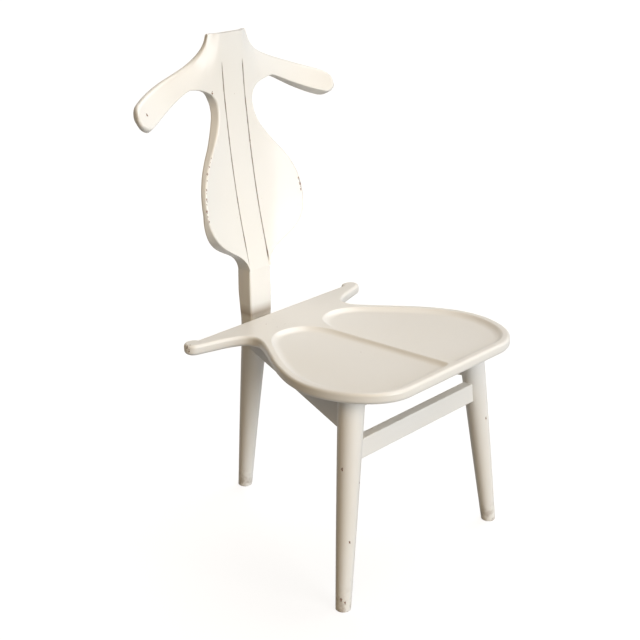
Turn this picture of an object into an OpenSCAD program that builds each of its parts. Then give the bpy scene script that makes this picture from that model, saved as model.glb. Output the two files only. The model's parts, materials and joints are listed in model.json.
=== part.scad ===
// Clothes valet chair: three legs, a coat-hanger back and a seat that lifts on two hinges.
// Millimetres, +Z up, front towards -Y. The origin lies on the floor under the middle of the chair.
// Left and right are those of someone who looks at the chair from the front.

/* [Overall] */
// Height from the floor to the top of the neck
height = 950; // [900:5:1000]
// Depth from the seat's front edge to the back of the arms
depth = 585.1; // [578:0.1:598]
// Gap left between pieces that move against each other
gap = 0.3; // [0.2:0.05:0.5]

/* [Seat outline] */
// Height of the seat's top at its rear edge
seat_h = 414.4; // [400:1:440]
// Length of the seat from its rear edge to its front edge
seat_len = 453; // [440:1:470]
// Thickness of the seat board
seat_t = 21; // [18:0.5:26]
// Slope of the seat, down towards the back
seat_tilt = 1.4; // [0:0.1:3]
// Greatest width of the seat
seat_w = 479; // [460:1:500]
// Distance of the widest line from the rear edge
seat_wide_at = 311; // [290:1:325]
// Width of the straight part of the front edge
front_flat_w = 260; // [200:5:290]
// Width of the seat at its waist, between the horns and the dishes
seat_waist_w = 262; // [250:1:280]
// Distance of the waist from the rear edge
seat_waist_at = 78; // [72:1:84]
// Width from horn tip to horn tip
horn_span = 480; // [470:1:500]
// Radius of the round horn tips
horn_tip_r = 18; // [14:0.5:19]
// How far the horn tips stand out behind the straight rear edge
horn_tip_out = 12; // [6:0.5:14]
// Sweep of the horns' front edges
horn_rake = 17; // [10:1:22]
// Rounding of the seat's top edge
seat_top_round = 6; // [3:0.5:7]
// Rounding of the seat's bottom edge
seat_bottom_round = 8; // [4:0.5:10]

/* [Seat dishes] */
// Width of the rim between the seat's edge and each dish
dish_rim = 14.5; // [12:0.5:18]
// Depth of the dishes
dish_depth = 7; // [4:0.5:9]
// Width of the sloping wall round each dish
dish_wall = 17; // [12:0.5:20]
// Width of the ridge between the dishes
ridge_w = 9; // [6:0.5:16]
// Distance of the dishes' rear ends from the rear edge
dish_rear_at = 88; // [82:1:100]
// Distance of each dish's rearmost point from the middle
dish_crown_x = 73; // [60:1:80]

/* [Back outline] */
// Width of the neck at its top
neck_w = 99; // [92:0.5:106]
// Width of the stile between the two wings
stile_w = 54; // [46:1:60]
// Greatest width of the bell-shaped middle
bell_w = 260; // [230:1:280]
// Distance of the bell's widest line below the top
bell_drop = 323; // [310:1:335]
// Width of the back at its waist, under the arms
back_waist_w = 92; // [90:1:104]
// Distance of the waist below the top
back_waist_drop = 138; // [134:1:150]
// Distance of the wings' lower ends below the top
toe_drop = 454; // [445:1:470]
// Width from arm tip to arm tip
arm_span = 518; // [500:1:536]
// Distance of the middle of the arm tips below the top
arm_drop = 124.1; // [118:0.1:132]
// Radius of the round arm tips
arm_tip_r = 26.7; // [22:0.1:28]
// Slope of the arms, down towards their tips
arm_slope = 15.8; // [12:0.1:20]
// Distance of the armpit from the middle
armpit_x = 107.6; // [98:0.1:114]
// Distance of the armpit below the top
armpit_drop = 97.3; // [95:0.1:104]

/* [Back section] */
// Distance from the back's front face, at the top, to the back of the arms
back_top_in = 28.7; // [24:0.1:34]
// Lean of the back at the top
back_top_lean = 1.5; // [0:0.1:4]
// Radius of the back's bend, seen from the side
back_bend_r = 1950; // [1700:10:2400]
// Radius of the bell's hollow front
hollow_r = 313; // [280:1:500]
// How much deeper the hollow is at the wings' lower ends, as a share
hollow_gain = 0.65; // [0:0.05:0.8]
// How far the neck's edges stand back
neck_back = 9.7; // [4:0.1:12]
// How far the middle of each arm stands back
arm_back = 8.3; // [4:0.1:14]
// Distance of that place from the middle
arm_back_x = 140; // [125:1:150]
// Radius of the arms' sweep towards the front
arm_curl_r = 187; // [170:1:400]
// Thickness of the back at the top
top_t = 11; // [9:0.5:15]
// Thickness of the back at the neck's edges
neck_edge_t = 7; // [5:0.5:11]
// Thickness of the stile at the waist
waist_t = 20; // [16:0.5:22]
// Thickness of the stile at the wings' lower ends
toe_t = 34; // [28:0.5:36]
// Thickness of the wings at the bell's edge
bell_edge_t = 11.5; // [9:0.5:16]
// Turn of the arms about their own length, front face up
arm_roll = 33; // [0:1:36]
// Share of that turn reached where the arms leave the neck
arm_roll_root = 0.35; // [0:0.01:0.6]
// How far under the waist the wings' edges begin to stand back
waist_blend = 50; // [20:1:80]
// How far the wings' edges lean out at the waist, per millimetre of depth
waist_lean = 0.3; // [0:0.05:0.4]
// Thickness of the arms at their lower edge
arm_t = 16.7; // [14:0.1:22]
// Thickness of the arms at their upper edge
arm_top_t = 16; // [14:0.5:22]
// Thickness of the arm tips
arm_tip_t = 20.8; // [16:0.1:22]
// Rounding of the bell's edge
bell_round = 4; // [2:0.5:5]
// Rounding of the arms' lower edges
arm_low_round = 2; // [1:0.1:5]
// Width of the chamfers that make the two joint lines
joint_chamfer = 1.2; // [0.6:0.1:2]

/* [Rear leg] */
// Distance from the rear foot's middle to the back of the arms
rear_foot_in = 38.1; // [32:0.1:46]
// Diameter of the rear foot
rear_foot_d = 29; // [25:0.5:34]
// Gap for trousers between the seat's rear edge and the post
post_gap = 35; // [32:0.5:38]
// Width of the post above the seat
post_w = 58.8; // [56:0.2:62]
// Depth of the post above the seat
post_d = 36; // [31:0.5:38]

/* [Front legs] */
// Distance of the front feet's middles inside the seat's widest line
foot_in = 17.3; // [10:0.1:24]
// Distance of the front feet behind the seat's front edge
front_foot_in = 75; // [67:1:85]
// Outward lean of the front legs, in mm per 100 mm of height
leg_splay = 12.6; // [11:0.1:14]
// Forward lean of the front legs, in mm per 100 mm of height
leg_lean = 6.6; // [5.5:0.1:7.5]
// Diameter of the front legs at the top
leg_top_d = 49; // [46:0.5:51]
// Diameter of the front legs at the floor
leg_foot_d = 28; // [24:0.5:32]
// Swell of the front legs' taper
leg_swell = 1.3; // [0:0.1:3]

/* [Rails] */
// Free space between the frame and the underside of the seat
seat_clear = 3; // [2.5:0.1:4]
// Thickness of the side rails
rail_t = 20; // [16:0.5:22]
// Height of the side rails at the front legs
rail_front_h = 77; // [68:1:84]
// Height of the side rails at the post
rail_rear_h = 61.4; // [54:0.2:70]
// Distance of the side rails' middle from the chair's middle, at the post
rail_rear_x = 15; // [14:0.5:17]
// Thickness of the rail that carries the hinges
hinge_rail_t = 24; // [20:0.5:26]
// Distance of the hinge rail's front face behind the front of the leg tops
hinge_rail_set = 1; // [0:0.5:2]
// Height of the hinge rail
hinge_rail_h = 21.5; // [21:0.5:27]
// Height of the front stretcher
stretcher_h = 38.5; // [30:0.5:44]
// Thickness of the front stretcher
stretcher_t = 20; // [16:0.5:22]
// Distance of the front stretcher's top below the tops of the legs
stretcher_drop = 88; // [80:1:104]
// Thickness of the tenons
tenon_t = 10; // [8:0.5:12]
// Length of the tenons
tenon_len = 14; // [10:0.5:16]
// Depth to which a rail's square end is let into a round leg
housing = 7; // [5:0.5:8]
// Diameter of the dowels that join the wings to the stile
dowel_d = 8; // [6:0.5:8]
// Length of those dowels
dowel_len = 84; // [76:1:88]

/* [Tray] */
// Distance of the tray's floor below the seat's rear end
tray_drop = 41.5; // [36:0.5:46]
// Distance of the tray's front behind the front faces of the leg tops
tray_front_in = 48; // [42:1:66]
// Thickness of the tray's front wall
tray_wall_t = 10; // [8:0.5:14]
// Thickness of the tray's bottom
tray_t = 6; // [4:0.5:8]
// Size of the square ledges that carry the bottom
ledge = 10; // [8:0.5:12]

/* [Hinges] */
// Distance between the middles of the two hinges
hinge_span = 190; // [160:1:230]
// Length of each hinge
hinge_len = 50; // [44:1:60]
// Width of each leaf, from the pin's axis
leaf_w = 20; // [18:0.5:20.5]
// Thickness of the leaves
leaf_t = 2; // [1.5:0.1:2.2]
// Diameter of the hinge pins
pin_d = 5; // [4:0.1:5.5]
// Outer diameter of the knuckles
knuckle_d = 8; // [7.6:0.1:9]
// Running clearance round the pins, on the radius
pin_clear = 0.05; // [0.02:0.01:0.09]
// Diameter of the hinge screws
screw_d = 3.2; // [2.8:0.1:4]
// Length of the hinge screws
screw_len = 12; // [9:0.5:13]

/* [Hidden] */

lacquer = [0.93, 0.91, 0.86];
bare_wood = [0.62, 0.45, 0.30];
brass = [0.72, 0.58, 0.30];
felt = [0.20, 0.15, 0.11];
round_fn = 48;
tiny = 0.01;

// ---------- General curves and solids ----------

function mix(a, b, t) = a + (b - a) * t;
function ease(t) = let (u = min(1, max(0, t))) u * u * (3 - 2 * u);
function bezier_at(p, t) =
    pow(1 - t, 3) * p[0] + 3 * t * pow(1 - t, 2) * p[1] + 3 * t * t * (1 - t) * p[2] + pow(t, 3) * p[3];
// Points of a Bezier curve, n steps, from t0 to t1, its first point included and its last one left out
function bezier(p, n, t0 = 0, t1 = 1) = [for (i = [0:n - 1]) bezier_at(p, mix(t0, t1, i / n))];
function arc(c, r, a0, a1, n) = [for (i = [0:n]) c + r * [cos(mix(a0, a1, i / n)), sin(mix(a0, a1, i / n))]];
function unit(v) = v / norm(v);
function mirrored(points) = [for (i = [len(points) - 1:-1:0]) [-points[i].x, points[i].y]];
// Closed outline, anticlockwise, moved inwards by d at every point
function inset(points, d) =
    let (n = len(points))
    [for (i = [0:n - 1])
        let (
            before = unit(points[i] - points[(i + n - 1) % n]),
            after = unit(points[(i + 1) % n] - points[i]),
            inward = unit([-before.y - after.y, before.x + after.x]),
            reach = max(0.5, [-after.y, after.x] * inward)
        )
        points[i] + inward * d / reach];
// Value between the rows of a table, smooth through every row
function spline_row(rows, k, t) =
    let (
        p0 = rows[max(0, k - 1)],
        p1 = rows[k],
        p2 = rows[k + 1],
        p3 = rows[min(len(rows) - 1, k + 2)]
    )
    0.5 * (2 * p1 + (p2 - p0) * t + (2 * p0 - 5 * p1 + 4 * p2 - p3) * t * t
        + (3 * p1 - p0 - 3 * p2 + p3) * t * t * t);
function spline(rows, steps) =
    concat(
        [for (k = [0:len(rows) - 2]) for (i = [0:steps - 1]) spline_row(rows, k, i / steps)],
        [rows[len(rows) - 1]]
    );

// Solid between closed loops of equally many points; each loop runs anticlockwise seen from the last loop
module skin(loops) {
    m = len(loops[0]);
    last = len(loops) - 1;
    points = [for (loop = loops) for (p = loop) p];
    sides = [for (k = [0:last - 1]) for (i = [0:m - 1])
        for (half = [0, 1])
            half == 0
                ? [k * m + i, (k + 1) * m + i, k * m + (i + 1) % m]
                : [k * m + (i + 1) % m, (k + 1) * m + i, (k + 1) * m + (i + 1) % m]];
    first_cap = [for (i = [0:m - 1]) i];
    last_cap = [for (i = [m - 1:-1:0]) last * m + i];
    polyhedron(points, concat(sides, [first_cap, last_cap]), convexity = 8);
}

// Countersunk wood screw, head up at the origin, shank downwards
module wood_screw(length) {
    head_d = 2 * screw_d;
    head_h = 0.5 * (head_d - screw_d);
    translate([0, 0, -head_h])
        cylinder(h = head_h, d1 = screw_d, d2 = head_d, $fn = 32);
    translate([0, 0, -length])
        cylinder(h = length - head_h + tiny, d = screw_d, $fn = 32);
}

// ---------- Places that several pieces share ----------

seat_rear_y = seat_len - depth / 2;
post_y = seat_rear_y + post_gap;
back_top_y = depth / 2 - back_top_in;
rear_foot_y = depth / 2 - rear_foot_in;
front_foot_y = depth / 2 - front_foot_in;
seat_under_z = seat_h - seat_t;
function under_z(y) = seat_under_z + (seat_rear_y - y) * tan(seat_tilt);

// The seat's own frame: origin at the rear edge, on the underside, -Y towards the front
module seat_place() {
    translate([0, seat_rear_y, seat_under_z])
        rotate([-seat_tilt, 0, 0])
            children();
}

// All the room that the frame leaves free for the seat
module seat_room() {
    seat_place()
        translate([-seat_w / 2, -seat_len, -seat_clear])
            cube([seat_w, seat_len + 2 * post_gap, 2 * back_waist_w]);
}

foot_x = seat_w / 2 - foot_in;
function leg_x(z) = foot_x - leg_splay * z / 100;
function leg_y(z) = -front_foot_y + leg_lean * z / 100;
leg_top_z = under_z(leg_y(seat_under_z)) - seat_clear;
leg_axis = [-leg_splay, leg_lean, 100] / 100;
leg_len = leg_top_z * norm(leg_axis);
function leg_r(u) = mix(leg_foot_d, leg_top_d, u) / 2 + leg_swell * 4 * u * (1 - u) / 2;

leg_front_y = leg_y(leg_top_z) - leg_top_d / 2;
hinge_rail_y = leg_front_y + hinge_rail_set;
hinge_rail_z = under_z(hinge_rail_y) - seat_clear - hinge_rail_h;
hinge_lift = knuckle_d / 2 + gap;
hinge_y = hinge_rail_y - hinge_lift;
// Place of the pin's axis in the seat's own frame
hinge_seat_y = (hinge_y - seat_rear_y + hinge_lift * sin(seat_tilt)) / cos(seat_tilt);
hinge_z = seat_under_z - hinge_seat_y * sin(seat_tilt) - hinge_lift * cos(seat_tilt);

// Plan of the side rails: a straight line from the front leg's axis to the post
rail_mid_z = leg_top_z - rail_front_h / 2;
rail_start = [leg_x(rail_mid_z), leg_y(rail_mid_z)];
rail_end = [rail_rear_x, post_y + housing];
rail_dir = unit(rail_end - rail_start);
rail_len = norm(rail_end - rail_start);
rail_turn = atan2(rail_dir.y, rail_dir.x);
function rail_x(y) = rail_start.x + (y - rail_start.y) * rail_dir.x / rail_dir.y;
function rail_inner_x(y) = rail_x(y) - rail_t / 2 / rail_dir.y;

// ---------- The back's surfaces ----------

stile_x = stile_w / 2;
toe_z = height - toe_drop;
bell_z = height - bell_drop;
back_waist_z = height - back_waist_drop;
armpit_z = height - armpit_drop;
groove_top_z = height - 53;
groove_bottom_z = toe_z + 9;

// Front face of the stile: an arc that grows steeper towards the top
function lean_sin(z) = (height - z) / back_bend_r + sin(back_top_lean);
function spine_y(z) = back_top_y + back_bend_r * (sqrt(1 - pow(lean_sin(z), 2)) - cos(back_top_lean));
function spine_t(z) = lookup(z, [
    [toe_z, toe_t],
    [mix(toe_z, bell_z, 0.5), mix(toe_t, waist_t, 0.32)],
    [bell_z, mix(toe_t, waist_t, 0.52)],
    [back_waist_z, waist_t],
    [mix(back_waist_z, height, 0.5), mix(waist_t, top_t, 0.38)],
    [height, top_t]
]);
function arm_sweep(x) =
    x < arm_back_x
        ? arm_back * ease((x - stile_x) / (arm_back_x - stile_x))
        : arm_back - pow(x - arm_back_x, 2) / (2 * arm_curl_r);
// Front face of the wings: hollow across the bell, swept along the arms
blend_z = back_waist_z - waist_blend;
function arm_share(x, z) = ease((z - blend_z + 0.6 * max(0, x - back_waist_w / 2)) / (armpit_z - blend_z));
function hollow_slope(x, z) = x / hollow_r * (1 + hollow_gain * ease((bell_z - z) / (bell_z - toe_z)));
function front_y(x, z) =
    let (neck = ease((x - stile_x) / 20) * ease((z - armpit_z) / (height - armpit_z)))
    spine_y(z) + mix(-x / 2 * hollow_slope(x, z), arm_sweep(x), arm_share(x, z)) + neck_back * neck;
// How far the bell's edge leans out, a given depth behind its front, to stay square to the hollow
function flare(x, z, depth) = depth * (hollow_slope(x, z) * ease((x - stile_x) / 40) * (1 - arm_share(x, z))
    + waist_lean * ease((x - stile_x) / 20) * waist_share(x, z));

// The extra lean starts above the bell and is gone at the armpit
function waist_share(x, z) = ease((z - blend_z + 30) / 50)
    * ease((armpit_z + 4 - z - 0.6 * max(0, x - back_waist_w / 2)) / 30);

// ---------- Rear post: stile, post and rear leg from one blank ----------

// Rounded rectangle, 20 points: half width, front and rear place, front and rear corner radius
function post_loop(z, y_front, y_back, half_w, r_front, r_back) =
    let (
        corners = concat(
            arc([-half_w + r_front, y_front + r_front], r_front, 180, 270, 4),
            arc([half_w - r_front, y_front + r_front], r_front, 270, 360, 4),
            arc([half_w - r_back, y_back - r_back], r_back, 0, 90, 4),
            arc([-half_w + r_back, y_back - r_back], r_back, 90, 180, 4)
        )
    )
    [for (p = corners) [p.x, p.y, z]];

// Rows: height, front place, depth, width, front radius and rear radius as shares of half the depth
post_blend_z = seat_under_z - 8;
shoulder_lip = 0.2;
rear_leg_rows = [
    [0, rear_foot_y - rear_foot_d / 2, rear_foot_d, rear_foot_d, 0.98, 0.98],
    [150, mix(rear_foot_y - rear_foot_d / 2, post_y, 0.45), 38.5, 38.5, 0.98, 0.98],
    [280, mix(rear_foot_y - rear_foot_d / 2, post_y, 0.86), 46.5, 47.5, 0.98, 0.98],
    [345, post_y + 1, 44, 52.5, 0.75, 0.95],
    [post_blend_z, post_y + 0.3, 39, 56, 0.3, 0.8],
    [seat_under_z + 20, post_y, post_d, post_w - 0.6, 0.14, 0.45],
    [seat_under_z + 52, post_y + 0.5, post_d, post_w, 0.12, 0.25],
    [seat_under_z + 80, mix(post_y, spine_y(toe_z), 0.55), mix(post_d, toe_t, 0.5), post_w - 0.6, 0.12, 0.2],
    [toe_z, spine_y(toe_z) - shoulder_lip, toe_t + 2 * shoulder_lip, 2 * stile_x + 3, 0.1, 0.2]
];
rear_leg_steps = 4;
stile_steps = 14;

module rear_post() {
    leg_loops = [for (row = spline(rear_leg_rows, rear_leg_steps))
        post_loop(row[0], row[1], row[1] + row[2], row[3] / 2, row[4] * row[2] / 2, row[5] * row[2] / 2)];
    stile_loops = [for (i = [0:stile_steps])
        let (
            z = mix(toe_z, height, i / stile_steps),
            grooved = z > groove_bottom_z && z < groove_top_z
        )
        post_loop(z, spine_y(z), spine_y(z) + spine_t(z), stile_x, grooved ? joint_chamfer : 0.3, 0.4)];
    color(lacquer)
        difference() {
            skin(concat(leg_loops, stile_loops));
            side_rail_blank();
            mirror([1, 0, 0])
                side_rail_blank();
            dowels(0.05);
        }
}

// ---------- Wings: half a bell and a hanger arm in one piece ----------

toe_point = [post_w / 2 - 0.6, toe_z];
bell_point = [bell_w / 2, bell_z];
waist_point = [back_waist_w / 2, back_waist_z];
armpit_point = [armpit_x, armpit_z];
neck_point = [neck_w / 2, height];
arm_normal = [sin(arm_slope), cos(arm_slope)];
arm_dir = [cos(arm_slope), -sin(arm_slope)];
tip_centre = [arm_span / 2 - arm_tip_r, height - arm_drop];
tip_top = tip_centre + arm_tip_r * arm_normal;
tip_under = tip_centre - arm_tip_r * arm_normal;

toe_curve = [toe_point, toe_point + [0.6, 49], bell_point - [0, 87], bell_point];
flank_curve = [bell_point, bell_point + [0, 93], waist_point - [0, 72], waist_point];
armpit_curve = [waist_point, waist_point + [0, 28], armpit_point - [34, 0], armpit_point];
under_curve = [armpit_point, armpit_point + [20, -3], tip_under + [-43, 12.7], tip_under];
top_curve = [neck_point, neck_point + [11, -53], tip_top + [-123, 41.7], tip_top];
arm_round = arm_tip_t / 2 - 0.2;
toe_steps = 9;
flank_steps = 9;
fan_steps = 7;
root_steps = 5;
arm_steps = 7;
tip_steps = 4;
fan_share = 0.55;
fan_corner = 5;

function rolled(p, centre, angle) =
    centre + [
        cos(angle) * (p.x - centre.x) + sin(angle) * (p.y - centre.y),
        cos(angle) * (p.y - centre.y) - sin(angle) * (p.x - centre.x)
    ];

// One section of a wing, from a on the inner edge to b on the outer edge, rolled and set back
function wing_loop(a, b, t_a, t_b, r_a, r_b, roll = 0, set_back = 0) =
    let (
        length = norm(b - a),
        along = (b - a) / length,
        centre = [length / 2, (t_a + t_b) / 4],
        ra = min(r_a, t_a / 2 - 0.2, 0.45 * length),
        rb = min(r_b, t_b / 2 - 0.2, 0.45 * length),
        face_steps = 5,
        front = [for (i = [0:face_steps]) [mix(ra, length - rb, i / face_steps), 0]],
        edge_b = concat(
            [for (p = arc([length - rb, rb], rb, -60, 0, 2)) p],
            [for (p = arc([length - rb, t_b - rb], rb, 0, 60, 2)) p]
        ),
        back = [for (i = [face_steps:-1:0])
            let (s = mix(ra, length - rb, i / face_steps)) [s, mix(t_a, t_b, s / length)]],
        edge_a = concat(
            [for (p = arc([ra, t_a - ra], ra, 120, 180, 2)) p],
            [for (p = arc([ra, ra], ra, 180, 240, 2)) p]
        )
    )
    [for (p = concat(front, edge_b, back, edge_a))
        let (
            turned = rolled(p, centre, roll),
            q = a + along * turned.x
        )
        [q.x + flare(q.x, q.y, turned.y), front_y(q.x, q.y) + turned.y + set_back, q.y]];

function bell_loop(b, t_b, round) = wing_loop([stile_x, b.y], b, spine_t(b.y), t_b,
    b.y > groove_bottom_z ? joint_chamfer : 0.3, round);

wing_loops = concat(
    [for (i = [0:toe_steps - 1])
        let (u = i / toe_steps)
        bell_loop(bezier_at(toe_curve, u), mix(toe_t, bell_edge_t, pow(u, 1.8)), mix(0.6, bell_round, u))],
    [for (i = [0:flank_steps - 1])
        let (u = i / flank_steps)
        bell_loop(bezier_at(flank_curve, u), mix(bell_edge_t, waist_t - 1, ease(u)), bell_round)],
    [for (i = [0:fan_steps - 1])
        let (
            u = i / fan_steps,
            on_stile = i <= fan_corner,
            a = on_stile
                ? [stile_x, mix(back_waist_z, height, i / fan_corner)]
                : mix([stile_x, height], neck_point, (i - fan_corner) / (fan_steps - fan_corner)),
            t = mix(spine_t(a.y), neck_edge_t, (a.x - stile_x) / (neck_point.x - stile_x)),
            chamfer = a.y < groove_top_z ? joint_chamfer : 0.3
        )
        wing_loop(a, bezier_at(armpit_curve, fan_share * u), t, waist_t, chamfer,
            mix(bell_round, arm_low_round, u))],
    [for (i = [0:root_steps - 1])
        let (u = i / root_steps)
        wing_loop(bezier_at(top_curve, u / 2), bezier_at(armpit_curve, mix(fan_share, 1, u)),
            mix(neck_edge_t, arm_top_t, ease(u)), mix(waist_t, arm_t, u), arm_round, arm_low_round,
            arm_roll * arm_roll_root * ease(u))],
    [for (i = [0:arm_steps - 1])
        let (u = i / arm_steps)
        wing_loop(bezier_at(top_curve, 0.5 + u / 2), bezier_at(under_curve, u),
            mix(arm_top_t, arm_tip_t, ease(u)), mix(arm_t, arm_tip_t, ease(u)), arm_round, arm_low_round,
            arm_roll * mix(arm_roll_root, 1, ease(u)))],
    [for (i = [0:tip_steps])
        let (
            turn = 84 * sin(90 * i / tip_steps),
            out = arm_tip_r * sin(turn) * arm_dir,
            up = arm_tip_r * cos(turn) * arm_normal,
            rest = max(0, arm_round - arm_tip_r * (1 - sin(turn))),
            gone = arm_round - sqrt(pow(arm_round, 2) - pow(rest, 2)),
            t = arm_tip_t - 2 * gone
        )
        wing_loop(tip_centre + out + up, tip_centre + out - up, t, t,
            arm_round, mix(arm_low_round, arm_round, ease(turn / 60)), arm_roll, gone)]
);

module back_wing() {
    color(lacquer)
        difference() {
            skin(wing_loops);
            dowels(0.05);
        }
}

dowel_heights = [for (share = [0.28, 0.72]) mix(toe_z, bell_z, share),
    mix(bell_z, back_waist_z, 0.32), mix(bell_z, back_waist_z, 0.9)];

// Dowels across the stile into both wings, or their holes when grown
module dowels(grow) {
    for (z = dowel_heights)
        translate([-dowel_len / 2 - 4 * grow, spine_y(z) + spine_t(z) / 2, z])
            rotate([0, 90, 0])
                cylinder(h = dowel_len + 8 * grow, d = dowel_d + 2 * grow, $fn = 32);
}

// ---------- Front legs ----------

leg_steps = 8;
floor_block = 2 * leg_top_d;

module front_leg() {
    profile = [for (i = [0:leg_steps]) [leg_r(i / leg_steps), leg_len * i / leg_steps]];
    below = leg_foot_d;
    above = leg_top_d;
    color(lacquer)
        difference() {
            translate([foot_x, -front_foot_y, 0])
                rotate([0, 0, atan2(leg_axis.y, leg_axis.x)])
                    rotate([0, atan2(norm([leg_axis.x, leg_axis.y]), leg_axis.z), 0])
                        rotate_extrude($fn = round_fn)
                            polygon(concat(
                                [[0, -below], [leg_r(0), -below]],
                                profile,
                                [[leg_r(1), leg_len + above], [0, leg_len + above]]
                            ));
            translate([foot_x, -front_foot_y, -floor_block / 2])
                cube(floor_block, center = true);
            seat_room();
            side_rail_blank();
            hinge_rail_blank();
            stretcher_blank();
        }
}

// ---------- Rails ----------

// Side rail in its own plane, right-hand side: square ends let into the legs, then tenons
module side_rail_blank() {
    top_front = under_z(rail_start.y) - seat_clear + 1;
    top_rear = under_z(rail_end.y) - seat_clear + 1;
    front_in = leg_top_d / 2 - housing - 2;
    function high(s) = mix(top_front, top_rear, s / rail_len);
    function low(s) = high(s) - mix(rail_front_h, rail_rear_h, s / rail_len) - 1;
    module board(s0, s1, inset_z, t) {
        translate([rail_start.x, rail_start.y, 0])
            rotate([0, 0, rail_turn])
                rotate([90, 0, 0])
                    linear_extrude(t, center = true)
                        polygon([
                            [s0, low(s0) + inset_z],
                            [s1, low(s1) + inset_z],
                            [s1, high(s1) - inset_z],
                            [s0, high(s0) - inset_z]
                        ]);
    }
    difference() {
        board(front_in, rail_len, 0, rail_t);
        seat_room();
    }
    board(front_in - tenon_len + 2, rail_len + tenon_len, 12, tenon_t);
}

module side_rail() {
    color(lacquer)
        side_rail_blank();
}

hinge_rail_mid_y = hinge_rail_y + hinge_rail_t / 2;
hinge_rail_end = leg_x(hinge_rail_z) - leg_top_d / 2 + 2 * housing;

module hinge_rail_blank() {
    module profile(inset_y, inset_z) {
        y0 = hinge_rail_y + inset_y;
        y1 = hinge_rail_y + hinge_rail_t - inset_y;
        polygon([
            [y0, hinge_rail_z + inset_z],
            [y1, hinge_rail_z + inset_z],
            [y1, under_z(y1) - seat_clear - inset_z],
            [y0, under_z(y0) - seat_clear - inset_z]
        ]);
    }
    module along_x(half)
        rotate([90, 0, 90])
            linear_extrude(2 * half, center = true)
                children();
    along_x(hinge_rail_end)
        profile(0, 0);
    along_x(hinge_rail_end + tenon_len)
        profile((hinge_rail_t - tenon_t) / 2, 5);
}

module hinge_rail() {
    color(lacquer)
        hinge_rail_blank();
}

stretcher_mid_z = leg_top_z - stretcher_drop - stretcher_h / 2;
stretcher_y = leg_y(stretcher_mid_z) + 1;
stretcher_end = leg_x(stretcher_mid_z) - leg_top_d / 2 + housing + 4;

module stretcher_blank() {
    translate([0, stretcher_y, stretcher_mid_z]) {
        cube([2 * stretcher_end, stretcher_t, stretcher_h], center = true);
        cube([2 * (stretcher_end + tenon_len), tenon_t, stretcher_h - 12], center = true);
    }
}

module front_stretcher() {
    color(lacquer)
        stretcher_blank();
}

// ---------- Tray under the seat ----------

tray_play = 0.1;
tray_z = seat_under_z - tray_drop;
tray_front_y = leg_front_y + tray_front_in;
tray_rear_y = post_y - 10;
wall_top_z = under_z(tray_front_y + tray_wall_t) - seat_clear - 6;

// Strip between the side rails, from one distance to another
module between_rails(y0, y1) {
    x0 = rail_inner_x(y0) - tray_play;
    x1 = rail_inner_x(y1) - tray_play;
    polygon([[-x0, y0], [x0, y0], [x1, y1], [-x1, y1]]);
}

module tray_bottom() {
    color(lacquer)
        difference() {
            translate([0, 0, tray_z - tray_t])
                linear_extrude(tray_t)
                    between_rails(tray_front_y, tray_rear_y);
            tray_screw_set(0.1);
        }
}

module tray_wall() {
    color(lacquer)
        translate([0, 0, tray_z])
            linear_extrude(wall_top_z - tray_z)
                between_rails(tray_front_y, tray_front_y + tray_wall_t);
}

// Screws through the tray's bottom into its front wall
module tray_screw_set(grow) {
    for (k = [-1, 0, 1])
        translate([k * 0.5 * rail_inner_x(tray_front_y), tray_front_y + tray_wall_t / 2, tray_z - tray_t])
            mirror([0, 0, 1])
                wood_screw(screw_len + 4 + grow);
}

module tray_screws() {
    color(brass)
        tray_screw_set(0);
}

module tray_ledge() {
    from = leg_top_d / 2 + 12;
    color(bare_wood)
        translate([rail_start.x, rail_start.y, tray_z - tray_t - ledge])
            rotate([0, 0, rail_turn])
                translate([from, rail_t / 2, 0])
                    cube([rail_len - 2 * from, ledge, ledge]);
}

buffer_d = 12;
buffer_front_at = 300;
buffer_rear_at = 24;

// Felt discs on the rails, on which the closed seat lies
module seat_buffers() {
    color(felt)
        seat_place()
            for (side = [-1, 1])
                for (at = [buffer_front_at, buffer_rear_at])
                    translate([side * rail_x(seat_rear_y - at), -at, tiny - seat_clear])
                        cylinder(h = seat_clear - gap - tiny, d = buffer_d, $fn = 32);
}

// ---------- Hinges ----------

knuckles = 5;
knuckle_pitch = hinge_len / knuckles;

// Leaf along +Y of a pin at the origin, its free face at z = hinge_lift, with every second knuckle
module leaf(first, bore_r) {
    difference() {
        union() {
            translate([-hinge_len / 2, 0, hinge_lift - leaf_t])
                cube([hinge_len, leaf_w, leaf_t]);
            for (k = [first:2:knuckles - 1])
                translate([-hinge_len / 2 + k * knuckle_pitch + gap / 2, 0, 0])
                    rotate([0, 90, 0])
                        cylinder(h = knuckle_pitch - gap, d = knuckle_d, $fn = round_fn);
        }
        // the pin's bore, and room for the other leaf's knuckles
        translate([-hinge_len / 2 - 1, 0, 0])
            rotate([0, 90, 0])
                cylinder(h = hinge_len + 2, r = bore_r, $fn = round_fn);
        for (k = [1 - first:2:knuckles - 1])
            translate([-hinge_len / 2 + k * knuckle_pitch - gap / 2, 0, 0])
                rotate([0, 90, 0])
                    cylinder(h = knuckle_pitch + gap, r = knuckle_d / 2 + gap, $fn = round_fn);
        leaf_screws(0.1);
    }
}

// Three screws through a leaf, heads flush with the face towards the pin
module leaf_screws(grow) {
    for (k = [-1, 0, 1])
        translate([k * hinge_len / 3, leaf_w * (k == 0 ? 0.72 : 0.58), hinge_lift - leaf_t])
            mirror([0, 0, 1])
                wood_screw(screw_len + grow);
}

module seat_leaf_place(side) {
    seat_place()
        translate([side * hinge_span / 2, hinge_seat_y, -hinge_lift])
            children();
}

// On the frame the leaf hangs down the front face of the hinge rail
module frame_leaf_place(side) {
    translate([side * hinge_span / 2, hinge_y, hinge_z])
        rotate([-90, 0, 0])
            children();
}

module seat_leaf(side) {
    color(brass)
        seat_leaf_place(side)
            leaf(1, pin_d / 2 + pin_clear);
}

module frame_leaf(side) {
    color(brass)
        frame_leaf_place(side)
            leaf(0, pin_d / 2);
}

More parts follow.
